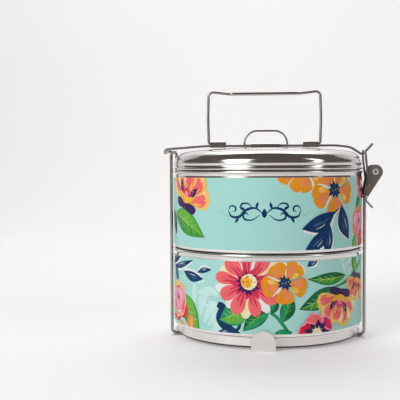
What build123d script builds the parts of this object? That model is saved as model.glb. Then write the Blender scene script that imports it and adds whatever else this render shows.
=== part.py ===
from build123d import *
import math
import os

# Two-tier steel tiffin carrier, in millimetres.
# Origin: centre of the stack on the table. +X is the latch side, -Y is the front, +Z is up.

# The stack
WALL_R = 69.0           # outside of the printed wall
WRAP_T = 0.28           # printed wrap
WRAP_GAP = 0.02         # wrap to steel
SHEET = 0.7             # container and lid sheet
FOOT_R = 65.4
PRINT_LOW = 10.1        # heights within one tier, from its foot
PRINT_HIGH = 58.5
SHOULDER_Z = 7.65       # rests over the rim below
BEAD_Z = 62.1
BEAD_R = 0.95           # rolled rim's section
BEAD_AT_R = 68.6
TIER_PITCH = 55.7
BASE_T = 1.2
SEAT_GAP = 0.05         # lower tier to the cross
LOWER_Z = BASE_T + SEAT_GAP
UPPER_Z = LOWER_Z + TIER_PITCH
STEEL_R = WALL_R - WRAP_T - WRAP_GAP

# The lid
LID_RIM_Z = 121.5
LID_TOP_Z = 137.2
SKIRT_R = 67.2
SKIRT_BOTTOM_Z = 115.0

# The frame
WIRE_D = 2.3
RAIL_X = 69.1           # uprights
RAIL_Y = 18.0
RAIL_FOOT_X = 64.2
CROSSPIECE_HALF = 10.5  # straight part of a rail's crosspiece, which stands further out
RAIL_BENDS = [3.4, 2.4, 3.0]
LEFT_TOP = (-73.2, 134.2)
CROSS_HALF_X = 69.5
CROSS_WIDE = 42.0
CROSS_NARROW = 16.5
TAB_X = -2.6            # the arm with the tabs is off centre
TAB_TOP_Z = 13.7
TAB_Y = 70.0            # inner face of the upturned tabs

# The top bar
BAR_T = 1.4
BAR_W = 13.0
BAR_END_W = 6.0
BAR_TAPER_X = (40.0, 62.0)
BAR_Z = 138.2           # middle of its thickness
BAR_RISE = 28.0         # the strap's slope up from the hook
BAR_KNEE = ((50.0, BAR_Z), (60.8, 137.0))
BAR_BENDS = [60, 22, 12, 0.72, 0.72]
HOOK_TAIL = 1.6
PIVOT_GAP = 0.07        # radial clearance of every running pivot
HOOK_R = WIRE_D / 2 + PIVOT_GAP + BAR_T / 2
NOTCH_X = 69.0
NOTCH_Z = 131.9
TONGUE_TIP = (76.9, 139.4)

# The carry handle and its clips
BAIL_D = 2.0
BAIL_X = -2.0
BAIL_HALF = 41.0
BAIL_TOP_Z = 178.3
BAIL_FOOT = 12.0
BAIL_BOW = 0.5          # how far the legs bow outward
BAIL_BENDS = [1.45, 60, 3.6, 20]
BAIL_GAP = 0.1          # its feet to the strap
GRIP_Z = 176.4
GRIP_L = 56.0
GRIP_W = 11.0
GRIP_T = 1.8
GRIP_EDGE = 0.6
GRIP_OVERLAP = 3.0      # wire inside each end of the grip
BAIL_AXIS_Z = BAR_Z + BAR_T / 2 + BAIL_GAP + BAIL_D / 2
CLIP_T = 0.4
CLIP_L = 11.5
CLIP_OUT = 39.8         # clip's outer end from the handle's centre
CLIP_SPACE = 0.15       # clip to strap

# The lid's small handle
DEE_D = 1.5
DEE_Y = 9.0
DEE_AXIS_Z = 138.9
DEE_TOP_Z = 149.7
DEE_X = (-16.9, 15.0)
DEE_BENDS = [1.1, 9.6]
DEE_PIN_L = 6.5
DEE_CLIP_X = (-11.8, 9.9)
DEE_CLIP_T = 0.45
DEE_CLIP_FOOT = 7.0

# The latch
LEVER_PIVOT = (71.1, 101.2)
LINK_PIVOT = (73.3, 108.6)
HEAD = (78.2, 118.8)
HEAD_R = 5.2
TIP_R = 1.8
EAR_Y = 8.4
EAR_T = 1.0
THUMB_TAB = ((72.5, 100.9), (71.7, 98.3), (76.8, 92.5))
THUMB_TAB_T = 0.6
THUMB_TAB_INSET = 1.5   # from the ears' outer faces
EYELET_R = 1.1
EYELET_T = 0.43
EYELET_FLANGE_R = 2.2
EYELET_FLANGE_T = 0.35
EYELET_GAP = 0.02       # eyelet to its hole
LINK_D = 1.6
LINK_SPACE = 0.6        # legs to the ears
LINK_BENDS = [1.2, 1.0]
LINK_Y = EAR_Y + LINK_SPACE + LINK_D / 2
LINK_TOP = (70.6, 134.0)
LINK_GAP = 4.0          # half of the opening in its top, where the bar's tongue passes

os.makedirs("parts", exist_ok=True)


def save(shape, name):
    """Write one sub-part."""
    export_step(shape, f"parts/{name}.step")


def sheet_section(points, thickness):
    """The closed outline of a bent sheet whose outer side follows the points, in the XZ plane."""
    def normal(a, b):
        along = Vector(b[0] - a[0], b[1] - a[1]).normalized()
        return Vector(-along.Y, along.X)

    inner = []
    for i, point in enumerate(points):
        sides = []
        if i > 0:
            sides.append(normal(points[i - 1], point))
        if i < len(points) - 1:
            sides.append(normal(point, points[i + 1]))
        mean = (sides[0] + sides[-1]).normalized()
        reach = thickness / mean.dot(sides[0])
        shift = mean.X * reach if point[0] else 0
        inner.append((point[0] + shift, point[1] + mean.Y * reach))
    outline = list(points) + inner[::-1]
    return make_face(Polyline(*[(x, 0, z) for x, z in outline], close=True))


def turned(section):
    """A section in the XZ plane turned about the stack's axis."""
    return revolve(section, Axis.Z, 360)


def bead(radius, z, section_r):
    """A rolled rim."""
    return Pos(0, 0, z) * Torus(radius, section_r)


def wire(points, radii, diameter):
    """A round wire along straight runs joined by tangent arcs."""
    path = FilletPolyline(*points, radius=radii)
    section = Plane(origin=path @ 0, z_dir=path % 0) * Circle(diameter / 2)
    return sweep(section, path=path)


def tube(outer, inner, x_low, x_high, y, z):
    """A round tube along X."""
    ring = Circle(outer) - Circle(inner)
    return Pos(x_low, y, z) * (Plane.YZ * extrude(ring, x_high - x_low))


def container():
    """One tier: foot, shoulder, wall and rolled rim, open at the top."""
    outer = [
        (0, 0),
        (FOOT_R - 1.4, 0),
        (FOOT_R - 0.4, 0.4),
        (FOOT_R, 1.4),
        (FOOT_R, SHOULDER_Z - 1.3),
        (FOOT_R + 0.3, SHOULDER_Z - 0.4),
        (FOOT_R + 1.2, SHOULDER_Z),
        (STEEL_R - 1.3, SHOULDER_Z + 0.1),
        (STEEL_R - 0.35, SHOULDER_Z + 0.7),
        (STEEL_R, SHOULDER_Z + 1.9),
        (STEEL_R, BEAD_Z + 0.1),
    ]
    shell = turned(sheet_section(outer, SHEET))
    return shell + bead(BEAD_AT_R, BEAD_Z, BEAD_R)


def wrap():
    """The printed band round a tier."""
    ring = Circle(WALL_R) - Circle(WALL_R - WRAP_T)
    return Pos(0, 0, PRINT_LOW) * extrude(ring, PRINT_HIGH - PRINT_LOW)


def lid():
    """Domed lid with a grooved side, a rolled rim and a skirt that enters the tier."""
    outer = [
        (SKIRT_R, SKIRT_BOTTOM_Z),
        (SKIRT_R, LID_RIM_Z - 1.0),
        (68.8, LID_RIM_Z + 0.1),
        (68.8, 124.6),
        (69.3, 125.2),
        (69.1, 125.9),
        (68.5, 127.5),
        (67.2, 129.4),
        (65.5, 131.3),
        (63.8, 132.6),
        (61.8, 133.4),
        (55.6, 134.3),
        (44.0, 135.5),
        (28.0, 136.5),
        (12.0, 137.1),
        (0, LID_TOP_Z),
    ]
    return turned(sheet_section(outer, SHEET)) + bead(BEAD_AT_R, LID_RIM_Z, BEAD_R)


def lid_handle():
    """The lid's D-shaped wire handle."""
    low, high = DEE_X
    points = [
        (low + DEE_PIN_L, DEE_Y, DEE_AXIS_Z),
        (low, DEE_Y, DEE_AXIS_Z),
        (low, DEE_Y, DEE_TOP_Z),
        (high, DEE_Y, DEE_TOP_Z),
        (high, DEE_Y, DEE_AXIS_Z),
        (high - DEE_PIN_L, DEE_Y, DEE_AXIS_Z),
    ]
    return wire(points, DEE_BENDS + DEE_BENDS[::-1], DEE_D)


def lid_handle_clip():
    """Rolled sheet clip, welded to the lid, that the small handle turns in."""
    low, high = DEE_CLIP_X
    bore = DEE_D / 2 + PIVOT_GAP
    barrel = tube(bore + DEE_CLIP_T, bore, low, high, DEE_Y, DEE_AXIS_Z)
    foot_t = DEE_AXIS_Z - bore - LID_TOP_Z + 0.05
    foot = Pos((low + high) / 2, DEE_Y + DEE_CLIP_FOOT / 2, LID_TOP_Z - 0.1 + foot_t / 2)
    plate = foot * Box(high - low, DEE_CLIP_FOOT, foot_t)
    bore_space = tube(bore, 0.01, low - 1, high + 1, DEE_Y, DEE_AXIS_Z)
    return barrel + (plate - bore_space)


def rail(top):
    """A frame wire: two uprights joined by a crosspiece, with feet bent in over the base."""
    top_x, top_z = top
    side = math.copysign(1, top_x)
    foot_z = BASE_T + WIRE_D / 2
    one = [
        (side * RAIL_FOOT_X, -RAIL_Y, foot_z),
        (side * RAIL_X, -RAIL_Y, foot_z),
        (side * RAIL_X, -RAIL_Y, top_z),
        (top_x, -CROSSPIECE_HALF, top_z),
    ]
    other = [(x, -y, z) for x, y, z in reversed(one)]
    return wire(one + other, RAIL_BENDS + RAIL_BENDS[::-1], WIRE_D)


def base_cross():
    """Flat stamped cross under the stack, with two upturned tabs at front and back."""
    cross = Box(2 * CROSS_HALF_X, CROSS_WIDE, BASE_T)
    cross += Pos(TAB_X, 0) * Box(CROSS_NARROW, 2 * (TAB_Y + BASE_T), BASE_T)
    cross = Pos(0, 0, BASE_T / 2) * cross
    for side in (-1, 1):
        rise = TAB_TOP_Z - CROSS_NARROW / 2
        tab = Pos(0, rise / 2) * Rectangle(CROSS_NARROW, rise)
        tab += Pos(0, rise) * Circle(CROSS_NARROW / 2)
        tab = tab & (Pos(0, TAB_TOP_Z / 2) * Rectangle(CROSS_NARROW, TAB_TOP_Z))
        plate = extrude(Plane.XZ * tab, BASE_T / 2, both=True)
        cross += Pos(TAB_X, side * (TAB_Y + BASE_T / 2), 0) * plate
    return cross


def top_bar():
    """Flat strap over the lid: a hook at the left, a notch and a raised tongue at the right."""
    hook_x, hook_z = LEFT_TOP
    top = (hook_x, hook_z + HOOK_R)
    left = (hook_x - HOOK_R, hook_z)
    tail = (left[0], hook_z - HOOK_TAIL)
    middle = (hook_x - HOOK_R * math.cos(math.pi / 4), hook_z + HOOK_R * math.sin(math.pi / 4))
    hook = Line(tail, left) + ThreePointArc(left, middle, top)
    strap_points = [
        top,
        (hook_x + BAR_RISE, BAR_Z),
        *BAR_KNEE,
        (NOTCH_X - 0.5, NOTCH_Z),
        (NOTCH_X + 1.0, NOTCH_Z - 0.1),
        TONGUE_TIP,
    ]
    strap = FilletPolyline(*strap_points, radius=BAR_BENDS)
    path = hook + strap
    side = Plane.XZ * trace(path, line_width=BAR_T)
    blank = extrude(side, BAR_W / 2, both=True)
    taper = [
        (-WALL_R - 20, BAR_W / 2),
        (BAR_TAPER_X[0], BAR_W / 2),
        (BAR_TAPER_X[1], BAR_END_W / 2),
        (WALL_R + 20, BAR_END_W / 2),
    ]
    plan = taper + [(x, -y) for x, y in reversed(taper)]
    outline = Pos(0, 0, BAR_Z) * extrude(make_face(Polyline(*plan, close=True)), 20, both=True)
    return blank & outline


def handle_clip(x_low):
    """Sheet clip wrapped round the strap and crimped over the handle's foot."""
    strap_w = BAR_W + 2 * CLIP_SPACE
    strap_h = BAR_T + 2 * CLIP_SPACE
    seat = Pos(0, BAR_Z)
    crown = Pos(0, BAIL_AXIS_Z)
    bore = BAIL_D / 2 + PIVOT_GAP
    outer = seat * Rectangle(strap_w + 2 * CLIP_T, strap_h + 2 * CLIP_T) + crown * Circle(bore + CLIP_T)
    inner = seat * Rectangle(strap_w, strap_h) + crown * Circle(bore)
    return Pos(x_low, 0, 0) * extrude(Plane.YZ * (outer - inner), CLIP_L)


def carry_handle():
    """Wire handle with a flattened grip and feet turned in under the clips."""
    z = BAIL_AXIS_Z
    left = BAIL_X - BAIL_HALF
    right = BAIL_X + BAIL_HALF
    grip = GRIP_L / 2 - GRIP_OVERLAP
    middle_z = (z + BAIL_TOP_Z) / 2
    points = [
        (left + BAIL_FOOT, 0, z),
        (left, 0, z),
        (left - BAIL_BOW, 0, middle_z),
        (left, 0, BAIL_TOP_Z),
        (BAIL_X - grip, 0, GRIP_Z),
        (BAIL_X + grip, 0, GRIP_Z),
        (right, 0, BAIL_TOP_Z),
        (right + BAIL_BOW, 0, middle_z),
        (right, 0, z),
        (right - BAIL_FOOT, 0, z),
    ]
    bail = wire(points, BAIL_BENDS + BAIL_BENDS[::-1], BAIL_D)
    pad = extrude(SlotOverall(GRIP_L, GRIP_W), GRIP_T / 2, both=True)
    pad = fillet(pad.edges().filter_by(GeomType.CIRCLE), GRIP_EDGE)
    return bail + Pos(BAIL_X, 0, GRIP_Z) * pad


def lever_side():
    """Outline of the lever: a large round head that narrows to its pivot."""
    head = Pos(*HEAD) * Circle(HEAD_R)
    tip = Pos(*LEVER_PIVOT) * Circle(TIP_R)
    return make_hull(head.edges() + tip.edges())


def latch_lever():
    """Pressed lever: two ears joined by an outer web, with a thumb tab below."""
    side = Plane.XZ * lever_side()
    block = extrude(side, EAR_Y, both=True)
    along = Vector(HEAD[0] - LEVER_PIVOT[0], HEAD[1] - LEVER_PIVOT[1]).normalized()
    inset = Pos(-along.Y * EAR_T, 0, along.X * EAR_T)
    hollow = inset * extrude(side, EAR_Y - EAR_T, both=True)
    lever = block - hollow
    tab = Plane.XZ * trace(Polyline(*THUMB_TAB), line_width=THUMB_TAB_T)
    lever += extrude(tab, EAR_Y - THUMB_TAB_INSET, both=True)
    bores = [
        (LEVER_PIVOT, WIRE_D / 2 + PIVOT_GAP),
        (LINK_PIVOT, LINK_D / 2 + PIVOT_GAP),
        (HEAD, EYELET_R + EYELET_T + EYELET_GAP),
    ]
    for (x, z), radius in bores:
        lever -= Pos(x, 0, z) * Rot(90, 0, 0) * Cylinder(radius, 2 * EAR_Y + 2)
    return lever


def lever_eyelets():
    """A rolled eyelet in each ear."""
    eyelets = []
    for side in (-1, 1):
        barrel = Cylinder(EYELET_R + EYELET_T, EAR_T + 0.1)
        flange = Pos(0, 0, (EAR_T + EYELET_FLANGE_T) / 2) * Cylinder(EYELET_FLANGE_R, EYELET_FLANGE_T)
        eyelet = barrel + flange - Cylinder(EYELET_R, 2 * EAR_T + 2 * EYELET_FLANGE_T)
        eyelet = Rot(-90 * side, 0, 0) * eyelet
        eyelets.append(Pos(HEAD[0], side * (EAR_Y - EAR_T / 2), HEAD[1]) * eyelet)
    return Compound(eyelets)


def latch_link():
    """Wire link: a pin through the lever, two legs, and ends turned in beside the bar's tongue."""
    x_low, z_low = LINK_PIVOT
    x_top, z_top = LINK_TOP
    one = [
        (x_top, -LINK_GAP, z_top),
        (x_top, -LINK_Y, z_top),
        (x_low, -LINK_Y, z_low),
    ]
    other = [(x, -y, z) for x, y, z in reversed(one)]
    return wire(one + other, LINK_BENDS + LINK_BENDS[::-1], LINK_D)


save(base_cross(), "base_cross")
save(rail(LEFT_TOP), "left_wire_rail")
save(rail(LEVER_PIVOT), "right_wire_rail")
for name, foot_z in (("lower", LOWER_Z), ("upper", UPPER_Z)):
    save(Pos(0, 0, foot_z) * container(), f"{name}_container")
    save(Pos(0, 0, foot_z) * wrap(), f"{name}_wrap")
save(lid(), "lid")
save(lid_handle(), "lid_handle")
save(lid_handle_clip(), "lid_handle_clip")
save(top_bar(), "top_bar")
save(handle_clip(BAIL_X - CLIP_OUT), "left_handle_clip")
save(handle_clip(BAIL_X + CLIP_OUT - CLIP_L), "right_handle_clip")
save(carry_handle(), "carry_handle")
save(latch_lever(), "latch_lever")
save(lever_eyelets(), "lever_eyelets")
save(latch_link(), "latch_link")
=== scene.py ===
import math
import random

import bmesh
import bpy
from mathutils import Matrix, Vector

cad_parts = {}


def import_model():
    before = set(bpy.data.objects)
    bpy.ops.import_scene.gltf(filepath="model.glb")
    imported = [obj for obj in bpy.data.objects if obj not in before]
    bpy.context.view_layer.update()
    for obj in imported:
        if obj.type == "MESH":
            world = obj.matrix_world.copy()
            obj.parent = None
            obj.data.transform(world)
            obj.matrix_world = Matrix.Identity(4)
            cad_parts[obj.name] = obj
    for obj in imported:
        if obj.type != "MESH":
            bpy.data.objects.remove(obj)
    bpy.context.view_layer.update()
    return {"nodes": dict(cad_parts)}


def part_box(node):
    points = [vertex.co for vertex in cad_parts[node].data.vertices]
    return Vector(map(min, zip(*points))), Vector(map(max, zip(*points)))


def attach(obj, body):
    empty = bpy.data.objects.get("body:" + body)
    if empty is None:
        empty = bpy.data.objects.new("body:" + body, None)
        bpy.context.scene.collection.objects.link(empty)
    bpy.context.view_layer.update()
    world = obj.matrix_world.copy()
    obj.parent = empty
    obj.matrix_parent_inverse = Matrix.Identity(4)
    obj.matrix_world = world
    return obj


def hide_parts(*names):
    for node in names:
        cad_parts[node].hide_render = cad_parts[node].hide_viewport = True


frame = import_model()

# A two-tier steel tiffin carrier. The frame's wires, clips, strap and latch are the CAD's own shapes with
# new materials. The tiers, the lid and the printed bands are finer pieces, made here.

MM = 0.001
TIERS = ("lower", "upper")


def linked(name, data):
    """A new object in the scene."""
    made = bpy.data.objects.new(name, data)
    bpy.context.collection.objects.link(made)
    return made


def finished_mesh(name, built, crease=None):
    """A smooth mesh from a bmesh, which it frees; edges sharper than crease, in degrees, stay sharp."""
    mesh = bpy.data.meshes.new(name)
    built.to_mesh(mesh)
    built.free()
    mesh.shade_smooth()
    if crease:
        mesh.set_sharp_from_angle(angle=math.radians(crease))
    return mesh


# ---------------------------------------------------------------- materials

WEAR_SCALE = 40                 # noise scales are in cycles per metre
INK_GRAIN_SCALE = 2600
LINE_DEPTH = 0.02 * MM          # depth of the steel's drawn lines
LINE_STRENGTH = 0.15
INK_DEPTH = 0.01 * MM
INK_STRENGTH = 0.08
NOISE_LOW = 0.3                 # nearly all of a noise texture's values lie between these two
NOISE_HIGH = 0.7


def material(name, color, roughness, metallic=0.0):
    """A node material and its Principled shader."""
    made = bpy.data.materials.new(name)
    made.use_nodes = True
    shader = made.node_tree.nodes["Principled BSDF"]
    shader.inputs["Base Color"].default_value = (*color, 1)
    shader.inputs["Roughness"].default_value = roughness
    shader.inputs["Metallic"].default_value = metallic
    return made, shader


def add_noise(made, scale, stretch=(1, 1, 1), detail=2):
    """A noise texture in object space, stretched along the axes, and its output."""
    nodes, links = made.node_tree.nodes, made.node_tree.links
    place = nodes.new("ShaderNodeTexCoord")
    spread = nodes.new("ShaderNodeMapping")
    spread.inputs["Scale"].default_value = stretch
    texture = nodes.new("ShaderNodeTexNoise")
    texture.inputs["Scale"].default_value = scale
    texture.inputs["Detail"].default_value = detail
    links.new(place.outputs["Object"], spread.inputs["Vector"])
    links.new(spread.outputs["Vector"], texture.inputs["Vector"])
    return texture.outputs["Fac"]


def ramp(made, source, stops):
    """A colour ramp over a value: stops are (position, colour)."""
    node = made.node_tree.nodes.new("ShaderNodeValToRGB")
    elements = node.color_ramp.elements
    while len(elements) < len(stops):
        elements.new(0.5)
    for element, (position, color) in zip(elements, stops):
        element.position = position
        element.color = (*color, 1)
    made.node_tree.links.new(source, node.inputs["Fac"])
    return node.outputs["Color"]


def spread_value(made, source, low, high):
    """A noise value spread over low..high."""
    node = made.node_tree.nodes.new("ShaderNodeMapRange")
    node.inputs["From Min"].default_value = NOISE_LOW
    node.inputs["From Max"].default_value = NOISE_HIGH
    node.inputs["To Min"].default_value = low
    node.inputs["To Max"].default_value = high
    made.node_tree.links.new(source, node.inputs["Value"])
    return node.outputs["Result"]


def bump(made, shader, source, strength, distance):
    """Bump from a value."""
    node = made.node_tree.nodes.new("ShaderNodeBump")
    node.inputs["Strength"].default_value = strength
    node.inputs["Distance"].default_value = distance
    made.node_tree.links.new(source, node.inputs["Height"])
    made.node_tree.links.new(node.outputs["Normal"], shader.inputs["Normal"])


def steel(name, color, rough, grain=(30, 30, 900), smudge=0.05):
    """Steel with fine lines along its grain, faint smudges and a slight change of tone."""
    made, shader = material(name, color, rough, metallic=1.0)
    links = made.node_tree.links
    wear = add_noise(made, WEAR_SCALE, detail=6)
    links.new(spread_value(made, wear, rough, rough + smudge), shader.inputs["Roughness"])
    darker = tuple(c * 0.9 for c in color)
    tone = ramp(made, wear, [(NOISE_LOW, darker), (NOISE_HIGH, color)])
    links.new(tone, shader.inputs["Base Color"])
    lines = add_noise(made, 1, stretch=grain)
    bump(made, shader, lines, LINE_STRENGTH, LINE_DEPTH)
    return made


def ink(name, color, other, brush_scale=160):
    """Make a printed colour with a soft sheen, which varies softly between two tones."""
    made, shader = material(name, color, 0.40)
    shader.inputs["Specular IOR Level"].default_value = 0.16
    streaks = add_noise(made, brush_scale, detail=3)
    tone = ramp(made, streaks, [(0.36, other), (0.62, color)])
    made.node_tree.links.new(tone, shader.inputs["Base Color"])
    fine = add_noise(made, INK_GRAIN_SCALE)
    bump(made, shader, fine, INK_STRENGTH, INK_DEPTH)


POLISHED = steel("polished_steel", (0.80, 0.775, 0.755), 0.085)
SATIN = steel("satin_steel", (0.40, 0.375, 0.358), 0.17, smudge=0.08)
FOOT_STEEL = steel("foot_steel", (0.97, 0.93, 0.915), 0.42, smudge=0.08)
# Painted shade: a near-black steel for the contact shadow under the foot's edge and the shade in the
# shoulder's fold.
FOOT_PAINTED_SHADE = steel("foot_painted_shade_steel", (0.10, 0.09, 0.085), 0.35)
STRAP = steel("strap_steel", (0.36, 0.335, 0.315), 0.26, grain=(20, 900, 900), smudge=0.1)
CLIP = steel("clip_steel", (0.74, 0.72, 0.70), 0.14)
LATCH = steel("latch_steel", (0.275, 0.242, 0.22), 0.40, grain=(300, 300, 300), smudge=0.14)
CHROME_EYELET = steel("eyelet_steel", (0.95, 0.94, 0.93), 0.48)

NODE_LOOK = {
    "base_cross": FOOT_STEEL,
    "left_wire_rail": SATIN,
    "right_wire_rail": SATIN,
    "lid_handle": SATIN,
    "lid_handle_clip": CLIP,
    "top_bar": STRAP,
    "left_handle_clip": CLIP,
    "right_handle_clip": CLIP,
    "carry_handle": SATIN,
    "latch_lever": LATCH,
    "lever_eyelets": CHROME_EYELET,
    "latch_link": SATIN,
}
for node, look in NODE_LOOK.items():
    shown = frame["nodes"][node]
    shown.data.materials.clear()
    shown.data.materials.append(look)


# ---------------------------------------------------------------- print shapes
# Shapes are outlines in millimetres on the unrolled band: u round the tier from its front, towards +X,
# and v up from the tier's foot.

WALL_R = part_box("lower_wrap")[1][0]             # outside of the printed band, in metres
AROUND = 2 * math.pi * WALL_R / MM              # the unrolled band's length
DEGREE = AROUND / 360
STRIPS = 216            # flat facets round a printed band; every layer of print shares their edges
FACET = AROUND / STRIPS
BAND_LOW = 10.1         # the band's edges, up from the tier's foot
BAND_HIGH = 58.5
MARGIN = 0.05           # bare ground left at the band's edges
LAYER = 0.012 * MM      # height of one layer of print over the one below
PETAL_STEPS = 18
LEAF_STEPS = 16
BELLY = 0.45            # where a leaf is widest, as a share of its length
GOLDEN_ANGLE = 137.5    # seeds in a flower's heart turn by this from one to the next

INKS = {
    "coral": ((0.93, 0.165, 0.175), (0.88, 0.13, 0.15)),
    "rose_coral": ((0.80, 0.10, 0.12), (0.84, 0.13, 0.13)),
    "salmon": ((0.88, 0.27, 0.125), (0.85, 0.23, 0.095)),
    "magenta": ((0.72, 0.028, 0.105), (0.66, 0.022, 0.09)),
    "pink": ((0.86, 0.17, 0.33), (0.90, 0.33, 0.45)),
    "pale_pink": ((0.88, 0.42, 0.55), (0.87, 0.33, 0.47)),
    "red": ((0.80, 0.02, 0.03), (0.66, 0.012, 0.03)),
    "orange": ((0.87, 0.34, 0.014), (0.82, 0.28, 0.012)),
    "yellow": ((0.93, 0.52, 0.05), (0.90, 0.42, 0.03)),
    "straw": ((0.90, 0.60, 0.17), (0.88, 0.52, 0.10)),
    "cream": ((0.92, 0.84, 0.56), (0.90, 0.78, 0.45)),
    "white": ((0.86, 0.88, 0.84), (0.80, 0.85, 0.82)),
    "navy": ((0.001, 0.030, 0.105), (0.001, 0.044, 0.150)),
    "steel_blue": ((0.10, 0.22, 0.40), (0.07, 0.17, 0.33)),
    "purple": ((0.040, 0.010, 0.095), (0.055, 0.015, 0.12)),
    "plum": ((0.20, 0.03, 0.16), (0.26, 0.04, 0.18)),
    "green": ((0.06, 0.36, 0.05), (0.045, 0.28, 0.04)),
    "leaf": ((0.14, 0.49, 0.05), (0.10, 0.40, 0.045)),
    "lime": ((0.42, 0.68, 0.15), (0.33, 0.60, 0.10)),
    "deep_green": ((0.008, 0.16, 0.055), (0.006, 0.12, 0.04)),
    "emerald": ((0.02, 0.34, 0.14), (0.012, 0.26, 0.10)),
    "mist": ((0.62, 0.88, 0.83), (0.56, 0.84, 0.78)),
}
INK_NAMES = list(INKS)
GROUND = ((0.415, 0.75, 0.705), (0.39, 0.725, 0.68))            # the bands' own colour


def beside(at, across, up):
    """A place that lies across and up from another."""
    return (at[0] + across, at[1] + up)


def turned(points, angle, at):
    """Points turned by an angle in degrees and moved."""
    cosine = math.cos(math.radians(angle))
    sine = math.sin(math.radians(angle))
    return [(at[0] + x * cosine - y * sine, at[1] + x * sine + y * cosine) for x, y in points]


def petal(at, length, width, angle, blunt, notch=0.0):
    """A petal from its base outward: blunt sets how full its tip is, notch dents it."""
    side = []
    for i in range(PETAL_STEPS + 1):
        along = (1 - math.cos(math.pi * i / PETAL_STEPS)) / 2
        swell = abs(math.sin(math.pi * along ** (1 + blunt))) ** 0.62
        half = width / 2 * swell * (0.42 + 0.58 * along ** 0.5)
        side.append((length * along, half))
    tip = length * (1 - notch)
    outline = side[:-1] + [(tip, 0)] + [(x, -y) for x, y in side[-2:0:-1]]
    return turned(outline, angle, at)


def leaf_rows(length, width, bend, belly):
    """Rows along a leaf's midrib: the place along it, its shift sideways and half the leaf's width."""
    skew = math.log(0.5) / math.log(belly)
    rows = []
    for i in range(LEAF_STEPS + 1):
        along = i / LEAF_STEPS
        half = width / 2 * math.sin(math.pi * along ** skew)
        rows.append((length * along, bend * length * math.sin(math.pi * along), half))
    return rows


def leaf(at, length, width, angle, bend=0.0, belly=BELLY):
    """A pointed leaf from its stem outward: bend is a share of its length."""
    rows = leaf_rows(length, width, bend, belly)
    upper = [(x, y + half) for x, y, half in rows]
    lower = [(x, y - half) for x, y, half in rows]
    return turned(upper + lower[-2:0:-1], angle, at)


def half_leaf(at, length, width, angle, bend):
    """One side of a leaf, between its midrib and its edge."""
    rows = leaf_rows(length, width, bend, BELLY)
    rib = [(x, y) for x, y, half in rows]
    edge = [(x, y + half) for x, y, half in rows]
    return turned(rib + edge[-2:0:-1], angle, at)


def curve_value(before, start, end, after, t):
    """The value at t, 0 to 1, on a smooth curve from start to end, with the values before and after them."""
    square = 2 * before - 5 * start + 4 * end - after
    cube = 3 * start - before - 3 * end + after
    return 0.5 * (2 * start + (end - before) * t + square * t * t + cube * t ** 3)


def smooth(points, steps=8):
    """A smooth line through the points."""
    ends = [points[0]] + list(points) + [points[-1]]
    line = []
    for four in zip(ends, ends[1:], ends[2:], ends[3:]):
        for i in range(steps):
            line.append(tuple(curve_value(*values, i / steps) for values in zip(*four)))
    return line + [points[-1]]


def stroke(points, width, taper=1.0):
    """A brush stroke along a smooth line, widest in the middle."""
    line = smooth(points)
    left, right = [], []
    last = len(line) - 1
    for i, (x, y) in enumerate(line):
        back_x, back_y = line[max(i - 1, 0)]
        next_x, next_y = line[min(i + 1, last)]
        run = math.hypot(next_x - back_x, next_y - back_y) or 1
        swell = math.sin(math.pi * (0.06 + 0.88 * i / last)) ** taper
        side_x = -(next_y - back_y) / run * width / 2 * swell
        side_y = (next_x - back_x) / run * width / 2 * swell
        left.append((x + side_x, y + side_y))
        right.append((x - side_x, y - side_y))
    return left + right[::-1]


def round_blob(at, radius, lobes=0, depth=0.0, turn=0.0, wobble=0.04, points=40):
    """A round shape with lobes and a slight wobble."""
    outline = []
    for i in range(points):
        angle = 2 * math.pi * i / points
        lobe = abs(math.cos(lobes * (angle - math.radians(turn)) / 2)) ** 0.7 if lobes else 1
        ripple = 1 + wobble * math.sin(3 * angle + at[0]) * math.cos(2 * angle + at[1])
        reach = radius * (1 - depth * (1 - lobe)) * ripple
        outline.append(beside(at, reach * math.cos(angle), reach * math.sin(angle)))
    return outline


def star(at, radius, points, depth, turn=0.0):
    """A ragged star for a flower's dark heart."""
    outline = []
    for i in range(points * 2):
        angle = math.radians(turn) + math.pi * i / points
        share = 1 - depth if i % 2 else 1
        reach = radius * share * (1 + 0.12 * math.sin(5 * i + at[0]))
        outline.append(beside(at, reach * math.cos(angle), reach * math.sin(angle)))
    return outline


# ---------------------------------------------------------------- the printed band

def cut(flat, place, across, **cleared):
    """Cut a flat mesh along a line, and clear what lies on one side where that is asked."""
    whole = flat.verts[:] + flat.edges[:] + flat.faces[:]
    bmesh.ops.bisect_plane(flat, geom=whole, plane_co=place, plane_no=across, **cleared)


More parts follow.
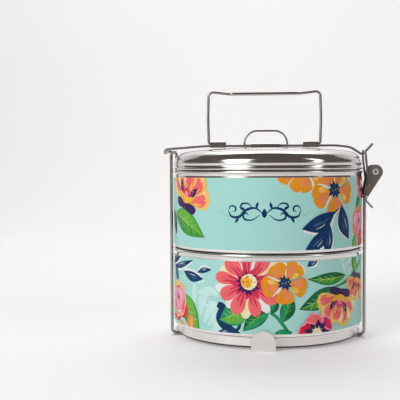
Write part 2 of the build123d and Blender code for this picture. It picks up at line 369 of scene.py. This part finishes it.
class Band:
    """Layers of print on one tier, gathered into a single mesh."""

    def __init__(self, tier):
        self.tier = tier
        self.foot_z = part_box(f"{tier}_wrap")[0][2] - BAND_LOW * MM
        self.verts = []
        self.faces = []
        self.inks = []
        self.boxes = []

    def point(self, u, v, height):
        """A point of the unrolled band on the wall's facets, at a height over them."""
        along = u / FACET
        facet = math.floor(along)
        ends = []
        for edge in (facet, facet + 1):
            angle = 2 * math.pi * edge / STRIPS
            ends.append(Vector((math.sin(angle), -math.cos(angle), 0)) * (WALL_R + height))
        place = ends[0].lerp(ends[1], along - facet)
        place.z = self.foot_z + v * MM
        return place

    def paint(self, outline, color):
        """Lay one outline over all that it covers, cut along the facets' edges so that it fits the wall."""
        low_u = min(u for u, v in outline)
        high_u = max(u for u, v in outline)
        low_v = max(min(v for u, v in outline), BAND_LOW)
        high_v = min(max(v for u, v in outline), BAND_HIGH)
        if low_v >= high_v:
            return
        layer = 1
        for left, right, foot, head, under in self.boxes:
            if left < high_u and low_u < right and foot < high_v and low_v < head:
                layer = max(layer, under + 1)
        self.boxes.append((low_u, high_u, low_v, high_v, layer))
        flat = bmesh.new()
        flat.faces.new([flat.verts.new((u, v, 0)) for u, v in outline])
        flat.normal_update()
        bmesh.ops.triangulate(flat, faces=flat.faces[:], ngon_method="EAR_CLIP")
        if high_v >= BAND_HIGH - MARGIN:
            cut(flat, (0, BAND_HIGH - MARGIN, 0), (0, 1, 0), clear_outer=True)
        if low_v <= BAND_LOW + MARGIN:
            cut(flat, (0, BAND_LOW + MARGIN, 0), (0, 1, 0), clear_inner=True)
        for edge in range(math.ceil(low_u / FACET), math.floor(high_u / FACET) + 1):
            cut(flat, (edge * FACET, 0, 0), (1, 0, 0))
        start = len(self.verts)
        flat.normal_update()
        flat.verts.index_update()
        height = layer * LAYER
        for vert in flat.verts:
            self.verts.append(self.point(vert.co.x, vert.co.y, height))
        for face in flat.faces:
            order = [start + vert.index for vert in face.verts]
            self.faces.append(order if face.normal.z > 0 else order[::-1])
            self.inks.append(INK_NAMES.index(color))
        flat.free()

    def finish(self):
        """Make the print an object that rides on its tier."""
        mesh = bpy.data.meshes.new(f"{self.tier}_print")
        mesh.from_pydata([tuple(v) for v in self.verts], [], self.faces)
        for name in INK_NAMES:
            mesh.materials.append(bpy.data.materials[f"ink_{name}"])
        mesh.polygons.foreach_set("material_index", self.inks)
        shade_round(mesh)
        made = linked(f"{self.tier}_print", mesh)
        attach(made, f"{self.tier}_tier")


def shade_round(mesh):
    """Normals that point out from the stack's axis, so that facets don't show."""
    mesh.update()
    mesh.shade_smooth()
    normals = [Vector((vert.co.x, vert.co.y, 0)).normalized() for vert in mesh.vertices]
    mesh.normals_split_custom_set_from_vertices(normals)


# ---------------------------------------------------------------- flowers and leaves
# Sizes and places are in millimetres and angles in degrees, from +u towards +v.

SCATTER_START = 104     # degrees round from the front, of the first flower past the front's own
SCATTER_PITCH = 29
SCATTER_SEED = 115


def two_tone_leaf(band, at, length, width, angle, dark, light, vein, bend=0.0):
    """A leaf with one lighter half, a midrib and a few side veins."""
    band.paint(leaf(at, length, width, angle, bend), dark)
    band.paint(half_leaf(at, length * 0.96, width * 0.84, angle, bend), light)
    rib = [(length * t, bend * length * math.sin(math.pi * t)) for t in (0.04, 0.35, 0.65, 0.93)]
    band.paint(stroke(turned(rib, angle, at), 0.55), vein)
    for t in (0.3, 0.45, 0.6):
        for side in (1, -1):
            start = (length * t, bend * length * math.sin(math.pi * t))
            middle = beside(start, length * 0.11, side * width * 0.12)
            tip = beside(start, length * 0.17, side * width * 0.27)
            band.paint(stroke(turned([start, middle, tip], angle, at), 0.4), vein)


def edged_leaf(band, at, length, width, angle, bend=0.0, shift=(0.9, -0.9)):
    """A navy leaf with pale slits, over a pale leaf that is shifted, so that it shows along one edge."""
    outline = leaf(at, length, width, angle, bend, belly=0.5)
    band.paint([(u + shift[0], v + shift[1]) for u, v in outline], "white")
    band.paint(outline, "navy")
    for t, offset, reach in ((0.22, 0.04, 0.5), (0.38, 0.17, 0.3), (0.46, -0.12, 0.26)):
        rib = (length * t, bend * length * math.sin(math.pi * t))
        slit = [
            beside(rib, 0, offset * width),
            beside(rib, length * reach / 2, (offset + 0.05) * width),
            beside(rib, length * reach, (offset + 0.02) * width),
        ]
        band.paint(stroke(turned(slit, angle, at), 0.45), "mist" if offset > 0.1 else "steel_blue")


def daisy(band, at, radius, turn):
    """Broad coral petals with dark streaks over a cream and white flower, and a yellow eye."""
    count = 9
    petals = []
    for i in range(count):
        angle = turn + 360 * i / count + 6 * math.sin(7 * i)
        reach = radius * (0.94 + 0.10 * math.sin(3 * i + 1))
        wide = radius * (0.42 + 0.05 * math.cos(4 * i))
        petals.append((angle, reach, wide))
    for i, (angle, reach, wide) in enumerate(petals):
        color = "cream" if i % 3 == 0 else "white"
        band.paint(petal(at, reach * 1.03, wide * 0.8, angle + 20, blunt=0.9, notch=0.04), color)
    for angle, reach, wide in petals:
        band.paint(petal(at, reach, wide, angle, blunt=0.95, notch=0.07), "coral")
    band.paint(star(at, radius * 0.50, count, 0.42, turn + 14), "magenta")
    for angle, reach, wide in petals:
        for lean, far, color in ((6, 0.80, "magenta"), (-8, 0.66, "magenta"), (-1, 0.9, "rose_coral")):
            base = turned([(radius * 0.24, 0)], angle + lean * 0.7, at)[0]
            band.paint(leaf(base, reach * far - radius * 0.24, radius * 0.05, angle + lean), color)
    band.paint(star(beside(at, -0.5, -0.7), radius * 0.33, 15, 0.30), "purple")
    heart = beside(at, 0.3, 0.4)
    band.paint(round_blob(heart, radius * 0.215), "cream")
    band.paint(round_blob(beside(heart, -radius * 0.05, 0), radius * 0.155, wobble=0.2), "yellow")
    band.paint(round_blob(beside(heart, -radius * 0.07, -0.2), radius * 0.095, wobble=0.3), "orange")
    dots = 18
    for i in range(dots):
        angle = 2 * math.pi * i / dots
        ring = radius * (0.15 + 0.045 * (i % 2))
        dot = beside(heart, 0.6 + ring * 0.9 * math.cos(angle), ring * math.sin(angle))
        band.paint(round_blob(dot, 0.42, points=8), "cream" if i % 3 else "purple")


def orange_flower(band, at, radius, turn):
    """Five squarish orange petals with salmon and yellow brush marks and a ragged navy heart."""
    petals = []
    for i in range(5):
        angle = turn + 72 * i + 5 * math.sin(5 * i)
        reach = radius * (0.97 + 0.05 * math.cos(3 * i))
        wide = radius * (0.93 + 0.06 * math.sin(4 * i))
        petals.append((angle, reach, wide))
    for angle, reach, wide in petals[:3]:
        edge = petal(at, reach, wide, angle, blunt=1.0, notch=0.08)
        band.paint([(u + 1.5, v + 0.5) for u, v in edge], "white")
    for angle, reach, wide in petals:
        band.paint(petal(at, reach, wide, angle, blunt=1.0, notch=0.08), "orange")
        for lean in (-15, 15):
            lobe = turned([(reach * 0.74, 0)], angle + lean, at)[0]
            band.paint(round_blob(lobe, radius * 0.235, 5, 0.12, angle, 0.1), "orange")
    for i, (angle, reach, wide) in enumerate(petals):
        base = turned([(radius * 0.18, radius * 0.05)], angle, at)[0]
        band.paint(petal(base, reach * 0.62, wide * 0.50, angle + 7, blunt=0.75, notch=0.12), "salmon")
        for side in (-1, 0, 1):
            vein = turned([(radius * 0.34, side * radius * 0.15)], angle, at)[0]
            band.paint(leaf(vein, radius * 0.50, radius * 0.055, angle + 9 * side), "orange")
        if i % 2 == 0:
            start = turned([(radius * 0.22, 0)], angle - 19, at)[0]
            band.paint(petal(start, radius * 0.5, radius * 0.24, angle - 19, blunt=0.7), "straw")
            for lean in (-24, -15):
                band.paint(leaf(start, radius * 0.40, radius * 0.045, angle + lean), "yellow")
    band.paint(star(at, radius * 0.34, 9, 0.40, turn), "navy")
    for i in range(9):
        ring = radius * (0.04 + 0.016 * i)
        dot = turned([(ring, 0)], GOLDEN_ANGLE * i, at)[0]
        band.paint(round_blob(dot, 0.36, points=7), "steel_blue" if i % 4 else "straw")


def open_tulip(band, at, size, turn):
    """A cup of yellow petals with coral linings on a dark calyx, seen from its side, open towards turn."""
    calyx = turned([(-size * 0.20, 0)], turn, at)[0]
    for lean in (-74, -46, -16, 16, 46, 74):
        band.paint(petal(calyx, size * 0.52, size * 0.26, turn + lean, 0.8), "purple")
    petals = ((62, 0.94, 0.66), (-64, 0.98, 0.66), (28, 1.02, 0.74), (-30, 1.04, 0.76), (-2, 0.92, 0.66))
    for lean, length, width in petals:
        angle = turn + lean
        band.paint(petal(at, size * length, size * width, angle, blunt=1.0, notch=0.05), "straw")
        glow = turned([(size * 0.36, size * width * 0.20)], angle, at)[0]
        band.paint(petal(glow, size * length * 0.52, size * width * 0.30, angle + 6, blunt=0.8), "cream")
        inner = turned([(size * 0.16, -size * width * 0.05)], angle, at)[0]
        lining = petal(inner, size * length * 0.70, size * width * 0.58, angle - 2, blunt=0.95, notch=0.10)
        band.paint(lining, "coral")
        for side in (1, -1):
            base = turned([(size * 0.26, side * size * 0.08)], angle, at)[0]
            band.paint(leaf(base, size * length * 0.46, size * 0.06, angle + side * 12), "yellow")
    for lean in (46, -48):
        base = turned([(size * 0.24, 0)], turn + lean, at)[0]
        band.paint(leaf(base, size * 0.42, size * 0.17, turn + lean * 0.7), "purple")
        band.paint(leaf(base, size * 0.26, size * 0.06, turn + lean * 0.7), "plum")
    throat = turned([(size * 0.20, 0)], turn, at)[0]
    band.paint(round_blob(throat, size * 0.19, 9, 0.25, turn), "magenta")
    band.paint(round_blob(throat, size * 0.11, 7, 0.3, turn), "pink")
    lip = [(size * 0.20, -size * 0.34), (size * 0.06, 0), (size * 0.20, size * 0.34)]
    band.paint(stroke(turned(lip, turn, at), size * 0.17, 0.5), "yellow")
    for i in range(9):
        lean = -36 + 9 * i
        thread = turned([(size * 0.26, 0)], turn + lean, at)[0]
        reach = size * (0.20 + 0.09 * (i % 2))
        band.paint(leaf(thread, reach, 0.5, turn + lean), "pink" if i % 2 else "magenta")
        dot = turned([(size * 0.26 + reach, 0)], turn + lean, at)[0]
        band.paint(round_blob(dot, 0.55, points=8), "red" if i % 2 else "straw")


def rose(band, at, radius, outer="salmon", middle="pink", inner="pale_pink"):
    """Nested ragged rounds of pinks with curled strokes."""
    band.paint(round_blob(at, radius, 7, 0.10), outer)
    band.paint(round_blob(beside(at, radius * 0.07, -radius * 0.05), radius * 0.82, 6, 0.12, 20), middle)
    band.paint(round_blob(beside(at, -radius * 0.05, radius * 0.08), radius * 0.60, 5, 0.12, 50), inner)
    band.paint(round_blob(beside(at, 0, radius * 0.1), radius * 0.36, 5, 0.16, 10), middle)
    for i in range(6):
        ring = radius * (0.52 + 0.13 * (i % 3))
        curl = []
        for lean in (15, 40, 65):
            angle = math.radians(60 * i + lean)
            curl.append(beside(at, ring * math.cos(angle), ring * math.sin(angle)))
        band.paint(stroke(curl, radius * 0.10), "magenta" if i % 2 else "white")
    band.paint(round_blob(beside(at, radius * 0.03, radius * 0.1), radius * 0.12, 5, 0.3), "purple")


def poppy(band, at, radius, turn):
    """Broad crumpled red and coral petals round a dark heart with pale stamens."""
    for i, color in enumerate(("magenta", "coral", "red", "coral", "magenta")):
        angle = turn + 72 * i
        base = turned([(radius * 0.46, 0)], angle, at)[0]
        band.paint(round_blob(base, radius * 0.55, 9, 0.10, angle, 0.06), "pale_pink")
        band.paint(round_blob(base, radius * 0.49, 9, 0.12, angle, 0.06), color)
    band.paint(star(at, radius * 0.66, 9, 0.34, turn + 10), "purple")
    band.paint(round_blob(at, radius * 0.27, 6, 0.2), "cream")
    for i in range(10):
        dot = turned([(radius * 0.3, 0)], 36 * i, at)[0]
        band.paint(round_blob(dot, 0.5, points=7), "lime" if i % 2 else "cream")


def tonal_sprig(band, at, angle, size):
    """A pale sprig, little lighter than the ground."""
    stem = [(0, 0), (7 * size, 1.2 * size), (15 * size, 0)]
    band.paint(stroke(turned(stem, angle, at), 0.7), "mist")
    for x, lean in ((2, 48), (4, -42), (8, 44), (10, -40), (14, 8)):
        base = turned([(x * size, 0.8 * size)], angle, at)[0]
        band.paint(leaf(base, 8.5 * size, 3.0 * size, angle + lean, 0.05), "mist")


def spot(degrees, height):
    """A place on the band: degrees round from the front, and height over the tier's foot."""
    return (degrees * DEGREE, height)


def flourish(band):
    """A navy scroll ornament at the front: two mirrored vines of curls, small leaves and dots."""
    mid = spot(-1.5, 35)
    vines = (
        (1.9, [(1.5, 0), (6, 3.4), (12, 2.2), (17, -2.4), (22.5, -2.2), (24.5, 1.6)]),
        (1.2, [(24.5, 1.6), (23, 4.6), (19.8, 4.2), (19.6, 1.6), (21.6, 1.2)]),
        (1.3, [(3, -1.0), (8, -4.4), (13, -4.0), (14.2, -1.2), (12, 0.1), (10.6, -1.6)]),
        (1.2, [(8, 3.4), (11, 6.4), (15.2, 6.0), (15.4, 3.4), (13.4, 3.6)]),
    )
    band.paint(leaf(beside(mid, 0, -3.2), 6.4, 3.6, 90), "navy")
    for side in (1, -1):
        for width, vine in vines:
            band.paint(stroke([beside(mid, side * x, y) for x, y in vine], width), "navy")
        for x, y, angle in ((17.5, -2.6, -58), (12.8, 2.0, 32), (5.2, 3.0, 105)):
            tip = beside(mid, side * x, y)
            band.paint(leaf(tip, 4.8, 1.9, angle if side > 0 else 180 - angle, 0.06), "navy")
        for x, y in ((26.6, -1.6), (28.8, -0.6), (30.6, 0.8)):
            band.paint(round_blob(beside(mid, side * x, y), 0.62 - 0.012 * x, points=14), "navy")


def navy_branch(band):
    """Navy leaves hanging from one stem at the right of the upper band."""
    band.paint(stroke([spot(47, 38), spot(41, 33), spot(38.5, 24), spot(40, 9)], 1.6), "white")
    band.paint(stroke([spot(46, 38), spot(40, 33), spot(37.5, 24), spot(39, 9)], 1.8), "navy")
    edged_leaf(band, spot(41.5, 35.5), 29, 11.5, 203, 0.08, shift=(0.7, -1.7))
    edged_leaf(band, spot(37.5, 26), 27, 9.5, 221, 0.06, shift=(0.8, -1.4))
    edged_leaf(band, spot(37.5, 27), 21, 8.8, 266, -0.06)
    edged_leaf(band, spot(46.5, 40), 26, 11.5, 290, -0.08, shift=(-0.9, -0.5))
    edged_leaf(band, spot(31, 12), 12, 5.5, 200, 0.06)


def upper_front(band):
    """What the upper band shows from the front."""
    edged_leaf(band, spot(-79, 36), 22, 10, -58, 0.08)
    two_tone_leaf(band, spot(-70, 34), 42, 17, -23, "green", "leaf", "lime", 0.03)
    open_tulip(band, spot(-55.5, 41.5), 27, 72)
    orange_flower(band, spot(20.5, 66.5), 20, 196)
    orange_flower(band, spot(41, 50), 18.8, 57)
    navy_branch(band)
    flourish(band)
    two_tone_leaf(band, spot(62.5, 19), 15, 7.5, 258, "green", "leaf", "lime")
    two_tone_leaf(band, spot(71, 48), 19, 8, 240, "deep_green", "emerald", "leaf")
    rose(band, spot(68.5, 26.5), 12)
    rose(band, spot(72.5, 13.5), 7.5, "red", "red", "coral")
    poppy(band, spot(75, 54), 12.5, 15)


def lower_front(band):
    """What the lower band shows from the front."""
    tonal_sprig(band, spot(-52, 45), -48, 1.7)
    tonal_sprig(band, spot(-40, 42), -72, 1.6)
    tonal_sprig(band, spot(-33, 26), -80, 1.2)
    tonal_sprig(band, spot(44, 56), -20, 1.1)
    edged_leaf(band, spot(-79, 51.5), 26, 6.5, 21, 0.04, shift=(0.2, -1.3))
    edged_leaf(band, spot(-76, 50), 35, 4.4, 12, -0.04, shift=(0.2, -1.4))
    edged_leaf(band, spot(-73, 51), 14.5, 6.5, -60, 0.10, shift=(-0.7, 0.2))
    edged_leaf(band, spot(-58, 48.5), 23, 7.0, -9, -0.05, shift=(-0.4, 1.5))
    edged_leaf(band, spot(-44, 49), 13.5, 3.8, 12, 0.05, shift=(-0.3, 1.3))
    two_tone_leaf(band, spot(-64, 32.5), 38, 18, -46, "green", "leaf", "lime", 0.06)
    band.paint(petal(spot(-55, 4), 13, 7, 138, 0.4), "orange")
    band.paint(petal(spot(-51.5, 4), 15, 9, 82, 0.3), "salmon")
    band.paint(petal(spot(-50.5, 5), 12, 3.5, 84, 0.3), "yellow")
    band.paint(petal(spot(-71, 18), 22, 14, 12, 0.8), "red")
    band.paint(petal(spot(-77, 14.5), 18, 8, 4, 0.8), "magenta")
    band.paint(leaf(spot(-74, 16.5), 15, 1.5, 14, 0.1), "pale_pink")
    rose(band, spot(-66, 27.5), 13.5, "straw")
    ribbon = [spot(-29, 29), spot(-25.5, 26), spot(-27, 19), spot(-22, 13), spot(-15, 8)]
    band.paint(stroke(ribbon, 7.2, 0.45), "navy")
    band.paint(stroke([spot(-23, 12.5), spot(-18, 12), spot(-15.5, 15), spot(-15, 19)], 2.2), "navy")
    edged_leaf(band, spot(-30, 9), 13, 4.5, 4, 0.05)
    two_tone_leaf(band, spot(-11, 29), 23, 16, 208, "emerald", "leaf", "lime", 0.05)
    two_tone_leaf(band, spot(1, 25), 22, 11, 217, "deep_green", "emerald", "leaf", -0.08)
    band.paint(stroke([spot(1.5, 24.5), spot(5, 22), spot(9, 16), spot(14.5, 7)], 2.4, 0.4), "emerald")
    band.paint(stroke([spot(7, 20), spot(3.5, 24), spot(2.5, 31)], 1.5, 0.4), "emerald")
    two_tone_leaf(band, spot(8, 18), 21, 10, 72, "deep_green", "emerald", "leaf", -0.06)
    two_tone_leaf(band, spot(2, 24), 11, 6.5, 66, "deep_green", "emerald", "emerald")
    two_tone_leaf(band, spot(4, 11), 12, 6.5, 4, "deep_green", "emerald", "emerald", -0.1)
    two_tone_leaf(band, spot(51, 47), 34, 8.5, 181, "deep_green", "green", "lime", 0.03)
    two_tone_leaf(band, spot(40, 40), 30, 12.5, 207, "deep_green", "green", "lime", 0.06)
    band.paint(stroke([spot(74, 58), spot(67, 52), spot(52, 43), spot(40, 39.5)], 2.6), "green")
    daisy(band, spot(-10.3, 44.5), 25, 10)
    orange_flower(band, spot(9.6, 44.4), 15.6, 52)
    two_tone_leaf(band, spot(59, 61), 17, 8, 283, "green", "leaf", "lime", 0.06)
    open_tulip(band, spot(65, 43.5), 17, 258)
    open_tulip(band, spot(46, 34), 22, 258)
    poppy(band, spot(28.5, 10), 14, 35)
    edged_leaf(band, spot(30, 61), 11, 5.0, 215)


def back_scatter(band, flip):
    """The same kind of print round the sides and the back; flip is 1 on the tier that starts halfway."""
    rng = random.Random(SCATTER_SEED)
    makers = [daisy, orange_flower, rose, open_tulip, poppy, orange_flower]
    if flip:
        makers = makers[3:] + makers[:3]
    for i, maker in enumerate(makers):
        at = SCATTER_START + i * SCATTER_PITCH
        height = 40 if (i + flip) % 2 else 26
        size = 17 if maker is daisy else 12.5
        other = 19 if height > 30 else 48
        lean = rng.uniform(-60, -30)
        two_tone_leaf(band, spot(at + 8, height), 25, 10, lean, "green", "leaf", "lime", 0.05)
        lean = rng.uniform(120, 160)
        two_tone_leaf(band, spot(at - 7, height), 24, 9, lean, "emerald", "leaf", "emerald", -0.05)
        edged_leaf(band, spot(at + 14, other), 14, 5, rng.uniform(20, 70), 0.05)
        edged_leaf(band, spot(at + 13, other), 12, 4.4, rng.uniform(-50, -10), -0.05)
        tonal_sprig(band, spot(at - 10, other), rng.uniform(-30, 30), 0.9)
        if maker is rose:
            rose(band, spot(at, height), size)
        else:
            maker(band, spot(at, height), size, rng.uniform(0, 90))


def ground_ring(tier):
    """The band's coloured ground: a fine closed ring that stands for the plain wrap."""
    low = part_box(f"{tier}_wrap")[0][2]
    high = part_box(f"{tier}_wrap")[1][2]
    inner = WALL_R - 0.28 * MM
    bevel = 0.05 * MM
    section = [
        (inner, low),
        (WALL_R - bevel, low),
        (WALL_R, low + bevel),
        (WALL_R, high - bevel),
        (WALL_R - bevel, high),
        (inner, high),
    ]
    made = bmesh.new()
    rings = []
    for strip in range(STRIPS):
        angle = 2 * math.pi * strip / STRIPS
        sine = math.sin(angle)
        cosine = math.cos(angle)
        rings.append([made.verts.new((radius * sine, -radius * cosine, z)) for radius, z in section])
    for one, two in zip(rings, rings[1:] + rings[:1]):
        for j in range(len(section)):
            after = (j + 1) % len(section)
            made.faces.new((one[j], two[j], two[after], one[after]))
    bmesh.ops.recalc_face_normals(made, faces=made.faces[:])
    mesh = finished_mesh(f"{tier}_band", made, crease=40)
    mesh.materials.append(bpy.data.materials["ink_ground"])
    ring = linked(f"{tier}_band", mesh)
    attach(ring, f"{tier}_tier")
    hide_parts(f"{tier}_wrap")


FRONTS = {"lower": lower_front, "upper": upper_front}
ink("ink_ground", *GROUND, brush_scale=9)
for ink_name, tones in INKS.items():
    ink(f"ink_{ink_name}", *tones)
for tier in TIERS:
    ground_ring(tier)
    printed = Band(tier)
    back_scatter(printed, int(tier == "upper"))
    FRONTS[tier](printed)
    printed.finish()


# ---------------------------------------------------------------- spun steel
# Profiles are (radius, height) in millimetres: a tier's from its foot up, the lid's from the table up.

TURNS = 288             # facets round a spun piece
SHEET = 0.7             # thickness of the steel
RIM = 0.95              # radius of a rolled rim
WALL = 68.7             # outside of a tier's wall, under its band
FOOT = 65.4             # outside of a tier's foot
SKIRT = 67.2            # outside of the lid's skirt
EDGE_SHADE_TOP = 1.35         # painted shade at the foot's edge, for the contact shadow under the foot, ends here
FOLD_SHADE_LOW = 7.3          # painted shade in the shoulder's fold lies between these two
FOLD_SHADE_HIGH = 8.1
WALL_LOW = 10.5         # the polished wall begins here


def arc(center, radius, start, end, steps):
    """Points on an arc, from one angle to another in degrees."""
    angles = [math.radians(start + (end - start) * i / steps) for i in range(steps + 1)]
    return [beside(center, radius * math.cos(angle), radius * math.sin(angle)) for angle in angles]


def lathe(name, profile, base_z, body, node, looks, look_of):
    """A closed profile turned about the stack's axis, which stands for a CAD node.

    look_of says which of the looks a face has, from its height in the profile."""
    made = bmesh.new()
    rows = []
    for radius, z in profile:
        height = base_z + z * MM
        if radius == 0:
            rows.append([made.verts.new((0, 0, height))])
            continue
        ring = []
        for turn in range(TURNS):
            angle = 2 * math.pi * turn / TURNS
            place = (radius * MM * math.sin(angle), -radius * MM * math.cos(angle), height)
            ring.append(made.verts.new(place))
        rows.append(ring)
    for i, (one, two) in enumerate(zip(rows, rows[1:] + rows[:1])):
        if len(one) == len(two) == 1:
            continue
        middle = (profile[i][1] + profile[(i + 1) % len(profile)][1]) / 2
        slot = looks.index(look_of(middle))
        for turn in range(TURNS):
            after = (turn + 1) % TURNS
            if len(one) == 1:
                corners = (one[0], two[after], two[turn])
            elif len(two) == 1:
                corners = (one[turn], one[after], two[0])
            else:
                corners = (one[turn], one[after], two[after], two[turn])
            made.faces.new(corners).material_index = slot
    bmesh.ops.recalc_face_normals(made, faces=made.faces[:])
    mesh = finished_mesh(name, made, crease=50)
    for look in looks:
        mesh.materials.append(look)
    piece = linked(name, mesh)
    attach(piece, body)
    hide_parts(node)


def tier_look(height):
    """Painted shade at the foot's edge and in the shoulder's fold, satin on the rest of the foot, else
    polished.
    """
    # painted shade: the foot's contact shadow below EDGE_SHADE_TOP, the fold's shade between the two fold
    # heights
    if height < EDGE_SHADE_TOP or FOLD_SHADE_LOW < height < FOLD_SHADE_HIGH:
        return FOOT_PAINTED_SHADE
    return FOOT_STEEL if height < WALL_LOW else POLISHED


def spun_tier(tier):
    """A tier: dished foot, shoulder, wall, bare collar and rolled rim."""
    corner = 1.4
    shoulder = [(FOOT, 6.2), (65.65, 7.1), (66.5, 7.62), (67.5, 7.75), (68.3, 8.3), (WALL - 0.04, 9.6)]
    outer = [(0, 0.9), (44, 0.9), (50, 0.5), (58, 0.0), (FOOT - corner, 0.0)]
    outer += arc((FOOT - corner, corner), corner, -90, 0, 6)[1:]
    outer += [(FOOT, 6.0)]
    outer += smooth(shoulder, 4)
    outer += [(WALL, 10.2), (WALL, 58.4), (WALL - 0.04, 59.2), (WALL - 0.08, 60.6)]
    outer += arc((WALL - 0.1, 62.1), RIM, -66, 196, 22)
    inner = [(WALL - SHEET, 60.9), (WALL - SHEET, 11.0), (67.6, 9.2), (66.9, 8.6), (65.6, 8.3), (64.8, 7.2)]
    inner += [(FOOT - SHEET, 6.0), (FOOT - SHEET, 2.0), (FOOT - corner, 1.0), (58, 0.8), (50, 1.3)]
    inner += [(44, 1.7), (0, 1.7)]
    foot_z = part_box(f"{tier}_container")[0][2]
    # the third look is painted shade, for the foot's edge and the shoulder's fold
    looks = [POLISHED, FOOT_STEEL, FOOT_PAINTED_SHADE]
    lathe(
        f"{tier}_spun_tier", outer + inner, foot_z, f"{tier}_tier", f"{tier}_container", looks, tier_look,
    )


def spun_lid():
    """The lid: skirt, rolled rim, groove, fine bead and mirror dome."""
    dome = [
        (68.75, 126.0), (68.5, 127.5), (67.3, 129.4), (65.4, 131.4), (61.8, 133.3), (55.6, 134.4),
        (44.0, 135.5), (28.0, 136.5), (12.0, 137.05), (0, 137.2),
    ]
    outer = [(SKIRT, 115.0), (SKIRT, 120.0)]
    outer += arc((68.6, 121.5), RIM, 225, 420, 18)
    outer += [(68.8, 122.7), (68.8, 124.3)]
    outer += arc((68.72, 125.2), 0.6, -60, 80, 8)
    outer += smooth(dome, 5)
    inner = [(0, 136.5), (12, 136.35), (28, 135.8), (44, 134.8), (55.4, 133.7), (61.4, 132.6)]
    inner += [(64.8, 130.8), (66.6, 129.0), (67.8, 127.3), (68.1, 125.2), (68.1, 122.6)]
    inner += [(SKIRT - SHEET, 121.0), (SKIRT - SHEET, 115.0)]
    lathe("spun_lid", outer + inner, 0.0, "lid", "lid", [POLISHED], lambda height: POLISHED)


spun_lid()
for tier in TIERS:
    spun_tier(tier)


# ---------------------------------------------------------------- stage, light and camera

CAMERA_PLACE = (0, -0.637, 0.1215)
CAMERA_YAW = 4.47       # degrees, to the left
CAMERA_PITCH = -2.08    # degrees, a little down
CAMERA_ROLL = -0.25
LENS = 77.3             # millimetres, on a sensor 36 wide
STACK_MIDDLE = (0, 0, 0.08)
HALFWAY = 0.5


def area_light(name, at, aim, size, power):
    """A rectangular light that faces a point. It fades towards its edges, so its reflections are soft."""
    data = bpy.data.lights.new(name, "AREA")
    data.shape = "RECTANGLE"
    data.size, data.size_y = size
    data.energy = power
    data.use_nodes = True
    nodes, links = data.node_tree.nodes, data.node_tree.links
    emission = nodes["Emission"]
    place = nodes.new("ShaderNodeNewGeometry")
    split = nodes.new("ShaderNodeSeparateXYZ")
    links.new(place.outputs["Parametric"], split.inputs[0])
    fades = []
    for side in ("X", "Y"):
        across = nodes.new("ShaderNodeMath")
        across.operation = "PINGPONG"
        across.inputs[1].default_value = HALFWAY
        links.new(split.outputs[side], across.inputs[0])
        fade = nodes.new("ShaderNodeMapRange")
        fade.interpolation_type = "SMOOTHERSTEP"
        fade.inputs["From Max"].default_value = HALFWAY
        links.new(across.outputs[0], fade.inputs["Value"])
        fades.append(fade.outputs["Result"])
    both = nodes.new("ShaderNodeMath")
    both.operation = "MULTIPLY"
    links.new(fades[0], both.inputs[0])
    links.new(fades[1], both.inputs[1])
    links.new(both.outputs[0], emission.inputs["Strength"])
    light = linked(name, data)
    light.location = at
    light.rotation_euler = (Vector(aim) - Vector(at)).to_track_quat("-Z", "Y").to_euler()


def stage():
    """A pale floor that curves up into a backdrop."""
    half_width = 2.2
    front = -2.4
    back = 1.3
    bend = 0.5
    top = 2.2
    steps = 12
    profile = [(front, 0.0), (back - bend, 0.0)]
    for i in range(1, steps + 1):
        angle = math.pi / 2 * i / steps
        profile.append((back - bend + bend * math.sin(angle), bend - bend * math.cos(angle)))
    profile.append((back, top))
    made = bmesh.new()
    rows = [[made.verts.new((x, y, z)) for x in (-half_width, half_width)] for y, z in profile]
    for one, two in zip(rows, rows[1:]):
        made.faces.new((one[0], one[1], two[1], two[0]))
    mesh = finished_mesh("studio_floor", made)
    look, shader = material("studio_white", (0.88, 0.88, 0.885), 0.7)
    shader.inputs["Emission Color"].default_value = (1, 1, 1, 1)
    shader.inputs["Emission Strength"].default_value = 0.275
    mesh.materials.append(look)
    floor = linked("studio_floor", mesh)


def world():
    """Dim warm grey surroundings, so that polished steel has dark bands between the lights."""
    made = bpy.data.worlds.new("studio")
    bpy.context.scene.world = made
    made.use_nodes = True
    back = made.node_tree.nodes["Background"]
    back.inputs["Color"].default_value = (0.105, 0.090, 0.083, 1)
    back.inputs["Strength"].default_value = 1.0


def camera():
    """A camera level with the lid's rim, which looks a little to the left of the object."""
    data = bpy.data.cameras.new("camera")
    data.sensor_width = 36
    data.lens = LENS
    made = linked("camera", data)
    made.location = CAMERA_PLACE
    level = math.pi / 2 + math.radians(CAMERA_PITCH)
    turn = Matrix.Rotation(math.radians(CAMERA_YAW), 4, "Z") @ Matrix.Rotation(level, 4, "X")
    turn = turn @ Matrix.Rotation(math.radians(CAMERA_ROLL), 4, "Z")
    made.rotation_euler = turn.to_euler()
    bpy.context.scene.camera = made


stage()
world()
# The top light and the wash stand behind the stack, so that the dome's shoulder reflects the dim world.
area_light("key_left", (-0.72, -0.95, 0.64), STACK_MIDDLE, (1.0, 1.6), 37)
area_light("strip_right", (0.98, -0.50, 0.64), STACK_MIDDLE, (0.4, 1.5), 6)
area_light("top", (0.0, 0.72, 1.1), (0, 0, 0.1), (1.6, 0.8), 10)
area_light("backdrop_wash", (0.0, 0.62, 1.5), (0, 1.3, 0.4), (2.4, 0.6), 19)
camera()
bpy.context.scene.view_settings.view_transform = "Standard"
